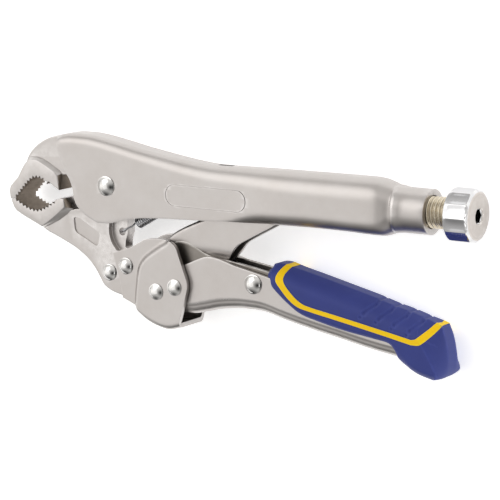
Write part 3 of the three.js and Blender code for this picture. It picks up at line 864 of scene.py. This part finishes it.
# ---------- lower handle ----------
def handle_channel(name, top, line, half, radius, thickness, first, last, count, ridge=0.0):
    """A channel open upwards, from its upper edge and the line where its bottom bend starts.

    A ridge is a small step where the side meets the bend."""
    x = np.linspace(first, last, count)
    down = np.linspace(0, 1, 22)[:, None]
    upper, lower = top(x), line(x)
    y = upper * (1 - down) + lower * down
    near = np.stack([np.broadcast_to(x, y.shape), y, np.full(y.shape, float(half))], axis=-1)
    if ridge:
        near[-1, :, 2] -= ridge
        near[-2, :, 1] = lower + 0.45
    return pressed(name, folded(near, DOWNWARDS, radius, turns=9), thickness)


HANDLE_BOTTOM = along([[21, -52], [25, -54.6], [34, -56.6], [46, -57], [54.1, -55.4], [61.5, -53.5],
                       [68.9, -52.3], [76.2, -51.8], [85.8, -52.1], [97.6, -54.9], [112.5, -57.9],
                       [127.2, -60.5], [141.7, -63.2], [154.5, -65.0], [168, -66.6]])


def lower_handle():
    radius = 4.4

    def line(x):
        return HANDLE_BOTTOM(x) + radius * ease((x - 20) / 20)

    top = along([[21, -49.4], [22.5, -43], [30, -38.6], [44.4, -33.4], [55.2, -28.9], [57.4, -28.7],
                 [72, -31.7], [87.8, -35.0], [130, -44.6], [168, -53.4]])
    piece = handle_channel("handle_channel", top, line, HANDLE_HALF, radius, HANDLE_SHEET,
                           24, 166, 92, ridge=0.35)
    bores = bore(HANDLE_PIVOT, SMALL_BORE), bore(LINK_PIVOT, BUSH_BORE), bore(REAR_PIN, LARGE_BORE)
    return combine(piece, "DIFFERENCE", *bores)


def inner_channel():
    """The narrower channel nested in the handle, a little above its floor."""
    radius, above = 2.6, 2.5

    def line(x):
        return HANDLE_BOTTOM(x) + above + radius

    top = along([[30, -33], [36, -24.4], [41.5, -23.1], [47, -24.6], [54.8, -28.2], [70, -30.3],
                 [86.4, -32.9], [124, -41.5]])
    piece = handle_channel("nested_channel", top, line, CHANNEL_HALF, radius, CHANNEL_SHEET,
                           33, 124, 62)
    return combine(piece, "DIFFERENCE", bore(LINK_PIVOT, BUSH_BORE), bore(REAR_PIN, LARGE_BORE))


# ---------- grip ----------
GRIP_BACK = curve([[88.6, -31.0], [90.4, -29.3], [95, -28.8], [101, -30.1], [113.9, -32.9],
                   [128.6, -36.3], [143.1, -39.7], [150.2, -41.7], [160.9, -44.2], [168, -46.2],
                   [173.4, -47.8], [176.2, -48.8]])
GRIP_UNDER = curve([[90.4, -36.2], [94.4, -40.2], [101.2, -45.6], [107.8, -49.6], [116.6, -52.0],
                    [131.2, -54.9], [145.5, -56.8], [153.6, -58.2], [156.2, -60.6], [158.2, -64.6],
                    [161.4, -68.0], [166.6, -70.8], [175.0, -73.0]])
GRIP_FRONT = curve([[88.6, -31.0], [88.2, -32.6], [88.8, -34.4], [90.4, -36.2]])
GRIP_REAR = curve([[176.2, -48.8], [178.1, -53.5], [179.5, -59.5], [180.0, -65.0], [179.5, -69.4],
                   [177.9, -72.0], [175.0, -73.0]])
GRIP_CREASE = curve([[96.0, -33.0], [101.5, -35.4], [109.8, -38.7], [128.7, -42.6], [142.4, -45.9],
                     [163.6, -51.0], [169.6, -53.9]])
STRIPE_OUTER = curve([[97.9, -25.3], [97.3, -27.4], [96.1, -30.2], [95.4, -32.6], [95.6, -35.4],
                      [98.4, -39.0], [103.0, -43.6], [107.6, -46.4], [112.8, -47.6], [131.7, -50.9],
                      [153.1, -54.8], [165.6, -57.2]])
STRIPE_INNER = curve([[100.9, -26.0], [100.3, -28.2], [99.2, -31.0], [98.9, -33.2], [99.4, -35.2],
                      [102.2, -38.8], [106.6, -42.8], [110.4, -44.9], [114.2, -45.8],
                      [131.7, -48.8], [153.1, -52.6], [165.4, -54.9]])
STRIPE_REAR_OUTER = curve([[165.6, -57.2], [169.6, -56.8], [173.4, -53.2], [176.0, -49.6],
                           [179.0, -45.4]])
STRIPE_REAR_INNER = curve([[165.4, -54.9], [167.6, -54.3], [171.2, -50.8], [173.4, -48.0],
                           [176.2, -44.0]])
GROOVES = [([144.6, -42.2], [141.2, -45.8]), ([152.3, -44.0], [148.9, -47.6]),
           ([160.0, -45.9], [156.6, -49.4]), ([167.6, -47.6], [164.2, -51.3])]
DIMPLES = [[139.8, -47.6], [147.6, -49.2], [155.4, -51.2], [163.1, -53.2]]
NOTCHES = (145.0, 152.6, 160.2, 167.7)
POCKET_TOP = along([[56.3, -28.6], [72, -31.6], [87.8, -35.0], [130, -44.6], [168, -53.4]])
REAR_FACET = along([[-73, 0.6], [-71.2, 0.8], [-69.4, 1.8], [-66, 4.0], [-62, 6.2], [-57, 8.2],
                    [-48, 8.6]])
NOSE_EDGE = 4.0       # the near side's height at the rear outline
STRIPE_PROUD = 0.18   # how far the stripes stand out of the grip
STRIPE_ROOM = 0.2     # how far the grip lies under its widest so that they can


def grip_height(points):
    """The near side's height over the mid plane at points of the drawing plane."""
    shares = np.linspace(0, 1, 160)
    back = np.abs(left_of(GRIP_BACK(shares), points))
    under = np.abs(left_of(GRIP_UNDER(shares), points))
    front = np.abs(left_of(GRIP_FRONT(shares), points))
    rear = np.abs(left_of(GRIP_REAR(shares), points))

    def roll(distance, radius, drop, power):
        return drop * np.clip(1 - distance / radius, 0, 1) ** power

    height = GRIP_HALF - STRIPE_ROOM - roll(back, 8.5, 8.0, 2.4) - roll(front, 4.5, 2.6, 2.0)
    heel = ease((points[..., 0] - 156) / 6)
    height -= roll(under, 2.2 + 2.2 * heel, 1.7 + 2.8 * heel, 2.0)
    crease = left_of(GRIP_CREASE(shares), points)
    height -= 0.9 * ease(crease / 7.0) * ease((points[..., 0] - 92) / 12) * ease(rear / 8)
    for start, end in GROOVES:
        groove = np.abs(left_of(np.array([start, end]), points))
        height -= 0.8 * ease(1.25 - groove / 0.95)
    for centre in DIMPLES:
        height -= 0.5 * ease(1.3 - np.linalg.norm(points - centre, axis=-1) / 0.75)
    facet = np.clip(rear / REAR_FACET(points[..., 1]), 0, 1) ** 0.7
    return NOSE_EDGE + (height - NOSE_EDGE) * facet


def denser_ends(count):
    """Shares from 0 to 1 that lie closer together at both ends."""
    even = np.linspace(0, 1, count)
    return 0.45 * (1 - np.cos(math.pi * even)) / 2 + 0.55 * even


def grip():
    """The moulded body: two mirrored sides, a belt between them, and room for the channels."""
    plane = patch(GRIP_BACK, GRIP_UNDER, GRIP_FRONT, GRIP_REAR, denser_ends(72), denser_ends(210))
    near = at_height(plane, grip_height(plane))
    depth = np.abs(left_of(GRIP_BACK(np.linspace(0, 1, 160)), plane))
    for notch in NOTCHES:
        near[..., 1] -= 0.55 * ease(1.2 - np.abs(plane[..., 0] - notch) / 1.1) * ease(1 - depth / 4)
    rows, columns = plane.shape[:2]
    rim = border(rows, columns)
    count = rows * columns
    points = [*near.reshape(-1, 3), *(near * [1, 1, -1]).reshape(-1, 3)]
    faces = grid_faces(rows, columns)
    faces += [tuple(i + count for i in face)[::-1] for face in faces]
    spans = 6
    belt = [[i * columns + j for i, j in rim]]
    for span in range(1, spans):
        share = 1 - 2 * span / spans
        belt.append(list(range(len(points), len(points) + len(rim))))
        points += [near[i, j] * [1, 1, share] for i, j in rim]
    belt.append([i * columns + j + count for i, j in rim])
    for upper, lower in zip(belt, belt[1:]):
        for i in range(len(rim)):
            j = (i + 1) % len(rim)
            faces.append((upper[i], lower[i], lower[j], upper[j]))
    piece = solid("grip_body", points, faces)
    stations = np.array([85, 97.6, 112.5, 127.2, 141.7, 154.5, 168.3])
    play = 0.3
    over = np.stack([stations, POCKET_TOP(stations) + play], axis=-1)
    under = np.stack([stations, HANDLE_BOTTOM(stations) - play], axis=-1)
    pocket = np.concatenate([[[70, -30.9]], over, under[::-1], [[70, -52]]])
    liner = [[70, -28.4], [86.4, -32.4], [124.6, -41.2], [124.6, -52], [70, -52]]
    wide, narrow = HANDLE_HALF + play, CHANNEL_HALF + play
    return combine(piece, "DIFFERENCE", slab("pocket", pocket, -wide, wide, 0.1),
                   slab("liner", liner, -narrow, narrow, 0.1))


def grip_stripe(name, side):
    """The yellow band on one side of the grip, a hair proud of it and lapped over its back."""
    shares = np.linspace(0, 1, 120)
    rear = np.linspace(0, 1, 40)[1:]
    outer = np.concatenate([STRIPE_OUTER(shares), STRIPE_REAR_OUTER(rear)])
    inner = np.concatenate([STRIPE_INNER(shares), STRIPE_REAR_INNER(rear)])
    across = np.linspace(0, 1, 7)[:, None, None]
    plane = outer[None] * (1 - across) + inner[None] * across
    samples = np.linspace(0, 1, 240)
    outline = np.concatenate([GRIP_BACK(samples), GRIP_REAR(samples)[1:]])
    beyond = left_of(outline, plane)
    nearest = outline[np.linalg.norm(plane[..., None, :] - outline, axis=-1).argmin(-1)]
    over = beyond > 0
    away = (plane - nearest) / np.maximum(np.linalg.norm(plane - nearest, axis=-1, keepdims=True),
                                          1e-6)
    grid = at_height(plane, grip_height(plane) + STRIPE_PROUD)
    wrapped = at_height(nearest + away * STRIPE_PROUD, grip_height(nearest) - beyond)
    grid = np.where(over[..., None], wrapped, grid)
    grid[..., 2] = np.maximum(grid[..., 2], 0.02)
    grid *= [1, 1, side]
    return pressed(name, grid, 0.5, rim=0.08)


# ---------- adjusting screw ----------
KNOB_START, KNOB_END = 179.5, 191.9
SCREW_RADIUS = 7.2
PITCH = 2.0


def adjusting_knob():
    """Wide shallow flutes, a bright chamfer at each end and a hexagon socket in the face."""
    flutes, segments, chamfer, socket = 12, 144, 0.8, 3.0
    angles = np.linspace(0, 2 * math.pi, segments, endpoint=False)
    share = (angles * flutes / (2 * math.pi)) % 1
    hollow = np.clip(1.06 * (1 - (2 * share - 1) ** 2) - 0.06, 0, None)
    hexagon = socket / np.cos((angles + math.pi / 6) % (math.pi / 3) - math.pi / 6)
    rings = []

    def ring(x, radius):
        rings.append(np.stack([np.full(segments, x), SCREW_Y + radius * np.cos(angles),
                               radius * np.sin(angles)], axis=-1))

    round_rim = np.ones(segments)
    ring(KNOB_START, 7.4 * round_rim)
    ring(KNOB_START, (GRIP_HALF - chamfer - 0.5) * round_rim)
    ring(KNOB_START + 0.1, (GRIP_HALF - chamfer) * round_rim)
    for x, depth in ((0.5, 0.2), (1.0, 0.5), (2.3, 0.62), (4.0, 0.66), (6.2, 0.66), (8.4, 0.66),
                     (10.2, 0.64), (10.9, 0.6)):
        rim = GRIP_HALF - max(chamfer - x, 0) * 0.9
        ring(KNOB_START + x, rim - depth * hollow)
    ring(KNOB_START + 11.05, GRIP_HALF - 0.12 - 0.5 * hollow)
    ring(KNOB_END - 0.5, (GRIP_HALF - 1.5) * round_rim)
    ring(KNOB_END - 0.06, (GRIP_HALF - 2.75) * round_rim)
    ring(KNOB_END, (GRIP_HALF - 3.0) * round_rim)
    ring(KNOB_END, 4.2 * round_rim)
    ring(KNOB_END - 0.05, 3.95 * round_rim)
    ring(KNOB_END - 0.6, 3.45 * round_rim)
    ring(KNOB_END - 0.9, hexagon)
    ring(KNOB_END - 8, hexagon)
    return skin("fluted_knob", rings)


def on_face(centres, normals):
    """Picks the knob's end face and the ring round it."""
    return (normals[:, 0] > 0.3) & (centres[:, 0] > KNOB_END - 0.75)


def adjusting_screw():
    """The rolled thread, right-handed, with its run-out into the knob."""
    samples = 10
    x = np.arange(110.05, KNOB_START + 0.4, PITCH / samples)
    angles = np.linspace(0, 2 * math.pi, 48, endpoint=False)
    phase = (x[:, None] / PITCH - angles[None] / (2 * math.pi)) % 1
    crest = ease((0.5 - np.abs(phase - 0.5)) * 2 * 1.5 - 0.25)
    fade = ease((KNOB_START - 0.6 - x) / 1.2) * ease((x - 110) / 2)
    radius = SCREW_RADIUS - 0.85 * (1 - crest) * fade[:, None] - 0.35 * (1 - fade[:, None])
    rings = np.stack([np.broadcast_to(x[:, None], radius.shape), SCREW_Y + radius * np.cos(angles),
                      radius * np.sin(angles)], axis=-1)
    return skin("threaded_stem", rings)


def screw_tip():
    """The screw's plain end, rounded for the link to bear on."""
    end = 109.95
    nose, flat, round_off = 106.6, 3.2, 1.2
    dome = [[nose + round_off * (1 - math.sin(a)), flat + round_off * math.cos(a)]
            for a in np.linspace(math.pi / 2, 0, 7)]
    return spun("screw_point", [*dome, [end - 0.4, 4.4], [end, 4.0]], 40)


# ---------- rivets ----------
def rivet(name, centre, shank, head, face, height):
    """A shank with a smooth dome at each end, bearing on faces at equal heights."""
    bearing = face + 0.05
    sphere = (head ** 2 + height ** 2) / (2 * height)
    opening = math.asin(head / sphere) if height < head else math.pi / 2
    dome = [[bearing + height - sphere * (1 - math.cos(a)), sphere * math.sin(a)]
            for a in np.linspace(0.02, opening, 16)]
    rim = [[bearing + 0.3, head - 0.02], [bearing + 0.12, head - 0.12], [bearing, head - 0.4],
           [bearing, shank]]
    upper = [point for point in dome if point[0] > bearing + 0.4] + rim
    lower = [[-z, radius] for z, radius in upper[::-1]]
    return spun(name, upper + lower, 48, centre)


# ---------- return spring ----------
def return_spring():
    """Hook in the jaw's web, close coils, and hook in the handle's back."""
    run = SPRING_ANCHOR - SPRING_HOLE
    length = np.linalg.norm(run)
    wire_radius, coil_radius, pitch, hook = 0.42, 2.45, 1.14, 8.6
    axes = np.array([[*(run / length), 0], [-run[1] / length, run[0] / length, 0], [0, 0, 1]])
    first = np.array([*SPRING_HOLE, 0])
    last = np.array([*SPRING_ANCHOR, 0])
    coils = int((length - 2 * hook) / pitch)
    turns = np.linspace(0, coils, coils * 16 + 1)
    angles = 2 * math.pi * turns
    along_axis = hook + turns / coils * (length - 2 * hook)
    coil = first + np.stack([along_axis, coil_radius * np.cos(angles),
                             coil_radius * np.sin(angles)], axis=-1) @ axes
    # Each hook's points are distances along the spring, across it, and up, from one of its ends.
    into_jaw = np.array([[0.6, 0, -4.0], [-0.2, 0, -2.6], [0, 0, 0], [0.1, 0, 2.8], [1.2, 0, 3.9],
                         [3.4, 0, 3.6], [6.2, 0, 2.0]]) @ axes + first
    to_coil = coil[0] + np.array([-0.9, -1.2, 0.3]) @ axes
    from_coil = coil[-1] + np.array([0.4, 0, 0.7]) @ axes
    into_back = np.array([[-5.4, 0, 0.5], [-2.6, 0, 0], [-0.6, 0, -0.4], [0.2, 0.9, 0],
                          [-0.9, 1.2, 0]]) @ axes + last
    in_hook = curve([*into_jaw, to_coil, coil[0]])(np.linspace(0, 1, 44))[:-1]
    out_hook = curve([coil[-1], from_coil, *into_back])(np.linspace(0, 1, 34))[1:]
    return wire("coil_spring", np.concatenate([in_hook, coil, out_hook]), wire_radius)


def collar_ring(name, centre, outer, inner, half):
    """A short tube with broken edges."""
    profile = [(half, inner + 0.2), (half, outer - 0.25), (half - 0.25, outer),
               (0.25 - half, outer), (-half, outer - 0.25), (-half, inner + 0.2),
               (0.2 - half, inner), (half - 0.2, inner)]
    angles = np.linspace(0, 2 * math.pi, 40, endpoint=False)
    points = [[centre[0] + radius * math.cos(a), centre[1] + radius * math.sin(a), z]
              for z, radius in [*profile, profile[0]] for a in angles]
    count = len(profile) * len(angles)
    faces = [tuple(i % count for i in face)
             for face in grid_faces(len(profile) + 1, len(angles), closed=True)]
    return solid(name, points[:count], faces)


# ---------- assembly ----------
settle(upper_handle(), SATIN, "frame", "upper_handle", smooth_below=40)
settle(fixed_jaw(), SATIN, "frame", "fixed_jaw", second=TOOTH,
       pick=cut_faces(np.concatenate([[[-56.9, -10.8]], UPPER_TEETH]), -28.6))
settle(lower_jaw(), SATIN, "lower_jaw", "lower_jaw", second=TOOTH,
       pick=cut_faces(np.concatenate([LOWER_TEETH, [[-56.8, -10.9]]]), -25.4))
settle(lever(), SATIN, "lever", "lever", smooth_below=40)
settle(toggle_link(), SATIN, "toggle_link", "toggle_link", smooth_below=40)
settle(lower_handle(), SATIN, "lower_handle", "lower_handle", smooth_below=40)
# The nested channel's darker steel is painted shade, not a different metal
settle(inner_channel(), PAINTED_SHADE_STEEL, "lower_handle", "inner_channel", smooth_below=40)
settle(grip(), BLUE, "lower_handle", "grip", smooth_below=50)
settle(grip_stripe("stripe_near", 1), YELLOW, "lower_handle", "grip_stripe_left")
settle(grip_stripe("stripe_far", -1), YELLOW, "lower_handle", "grip_stripe_right")

# name, centre, shank and head radii, height of the face under the head, dome, body, CAD node
RIVETS = [
    ("main_rivet", (0, 0), 4, 4.75, FRAME_HALF, 2.1, "frame", "main_pivot_rivet"),
    ("tail_rivet", TAIL_STOP, 3, 4, TANG_HALF, 2.1, "lower_jaw", "tail_stop_rivet"),
    ("jaw_lever_rivet", LEVER_PIVOT, 3, 4, EAR_HALF, 2.1, "lever", "lever_rivet"),
    ("lever_handle_rivet", HANDLE_PIVOT, 2.5, 3.9, BULGE_HALF, 1.55, "lever", "handle_rivet"),
    ("lever_link_rivet", LINK_PIVOT, 2.5, 3.9, BULGE_HALF, 1.55, "lever", "link_rivet"),
    ("channel_rivet", REAR_PIN, 3, 4.6, HANDLE_HALF, 2.2, "lower_handle", "rear_rivet"),
]
for name, centre, shank, head, face, height, body, node in RIVETS:
    settle(rivet(name, centre, shank, head, face, height), RIVET, body, node)

# The bush and the spacer take the same steel with painted shade
settle(collar_ring("link_pivot_bush", LINK_PIVOT, 3.9, 2.8, 2.0), PAINTED_SHADE_STEEL, "toggle_link",
       "link_bush")
settle(collar_ring("channel_spacer", REAR_PIN, 4.4, 3.3, 3.9), PAINTED_SHADE_STEEL, "lower_handle",
       "rear_spacer")
settle(screw_tip(), SPRING, "screw_carrier", "screw_tip")
settle(adjusting_screw(), SCREW, "adjusting_screw", "adjusting_screw",
       smooth_below=60)
settle(adjusting_knob(), CHROME, "adjusting_screw", "adjusting_knob",
       smooth_below=28, second=FACE, pick=on_face)

spring = settle(return_spring(), SPRING, None, "return_spring", smooth_below=60)
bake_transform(spring)


# ---------- floor, light and camera ----------
def floor_finish(finish):
    cloud = finish.noise(3, 2)
    return {
        "Base Color": finish.blend(cloud, (0.90, 0.90, 0.90), (0.92, 0.92, 0.92)),
        "Roughness": (cloud * 0.1 + 0.7).clamped(),
        "Emission Color": (1, 1, 1, 1),
        "Emission Strength": 0.55,
    }


floor = new_mesh("floor", np.array([[-6, -6, 0], [6, -6, 0], [6, 6, 0], [-6, 6, 0]]),
                 [(0, 1, 2, 3)])
floor.location.z = cad_box[0].z - 0.0002
floor.data.materials.append(material("floor", floor_finish))

world = bpy.data.worlds.new("studio")
bpy.context.scene.world = world
world.use_nodes = True
sky = Finish(world.node_tree)
direction = sky.add("TexCoord", output="Generated")


def lobe(towards, sharpness):
    """A soft patch of the surroundings, 1 at its middle."""
    axis = Vector(towards).normalized()
    cosine = sky.add("VectorMath", {"operation": "DOT_PRODUCT"}, {0: direction, 1: axis},
                     output="Value")
    return sky.add("Math", {"operation": "MAXIMUM"}, {0: cosine, 1: 0.0}) ** sharpness


light = (0.86 + lobe((-0.52, 0.5, 0.69), 16) * 0.38 + lobe((-0.9, -0.12, 0.42), 14) * 0.6
         - lobe((0.5, -0.2, 0.84), 6) * 0.84 - lobe((-0.4, -0.9, 0.15), 4) * 0.8
         - lobe((-0.4, 0.8, 0.42), 24) * 0.35 - lobe((-1, 0.05, -0.03), 30) * 0.6)
strength = sky.add("Math", {"operation": "MAXIMUM"}, {0: light, 1: 0.03})
background = sky.node("Background", inputs={"Color": (1.0, 0.985, 0.965, 1), "Strength": strength})
sky.tree.links.new(background.outputs[0], sky.node("OutputWorld").inputs["Surface"])


def lamp(name, towards, distance, size, power):
    """A soft square light that faces the tool."""
    data = bpy.data.lights.new(name, "AREA")
    data.size, data.energy = size, power
    made = bpy.data.objects.new(name, data)
    bpy.context.scene.collection.objects.link(made)
    direction = Vector(towards).normalized()
    made.location = direction * distance
    made.rotation_mode = "QUATERNION"
    made.rotation_quaternion = direction.to_track_quat("Z", "Y")


lamp("key_light", (-0.55, 0.6, 0.8), 1.1, 0.9, 1.8)
lamp("side_light", (1.0, -0.15, 0.5), 1.2, 0.7, 1.6)
lamp("fill_light", (-0.5, -0.1, 1.0), 1.6, 1.2, 1.6)

right = Vector((0.8480, 0, -0.5299)).normalized()
back = Vector((0.5219, 0.1736, 0.8352)).normalized()
target = MAIN_PIVOT + Vector((74.67, -24.99, 0)) * MM
distance = 1.1
camera_data = bpy.data.cameras.new("camera")
camera_data.lens, camera_data.sensor_width = 171.9, 36
camera_data.clip_start, camera_data.clip_end = 0.05, 20
camera = bpy.data.objects.new("camera", camera_data)
bpy.context.scene.collection.objects.link(camera)
turn = Matrix([right, back.cross(right), back]).transposed()
camera.matrix_world = Matrix.Translation(target + back * distance) @ turn.to_4x4()
bpy.context.scene.camera = camera
bpy.context.scene.view_settings.view_transform = "Standard"
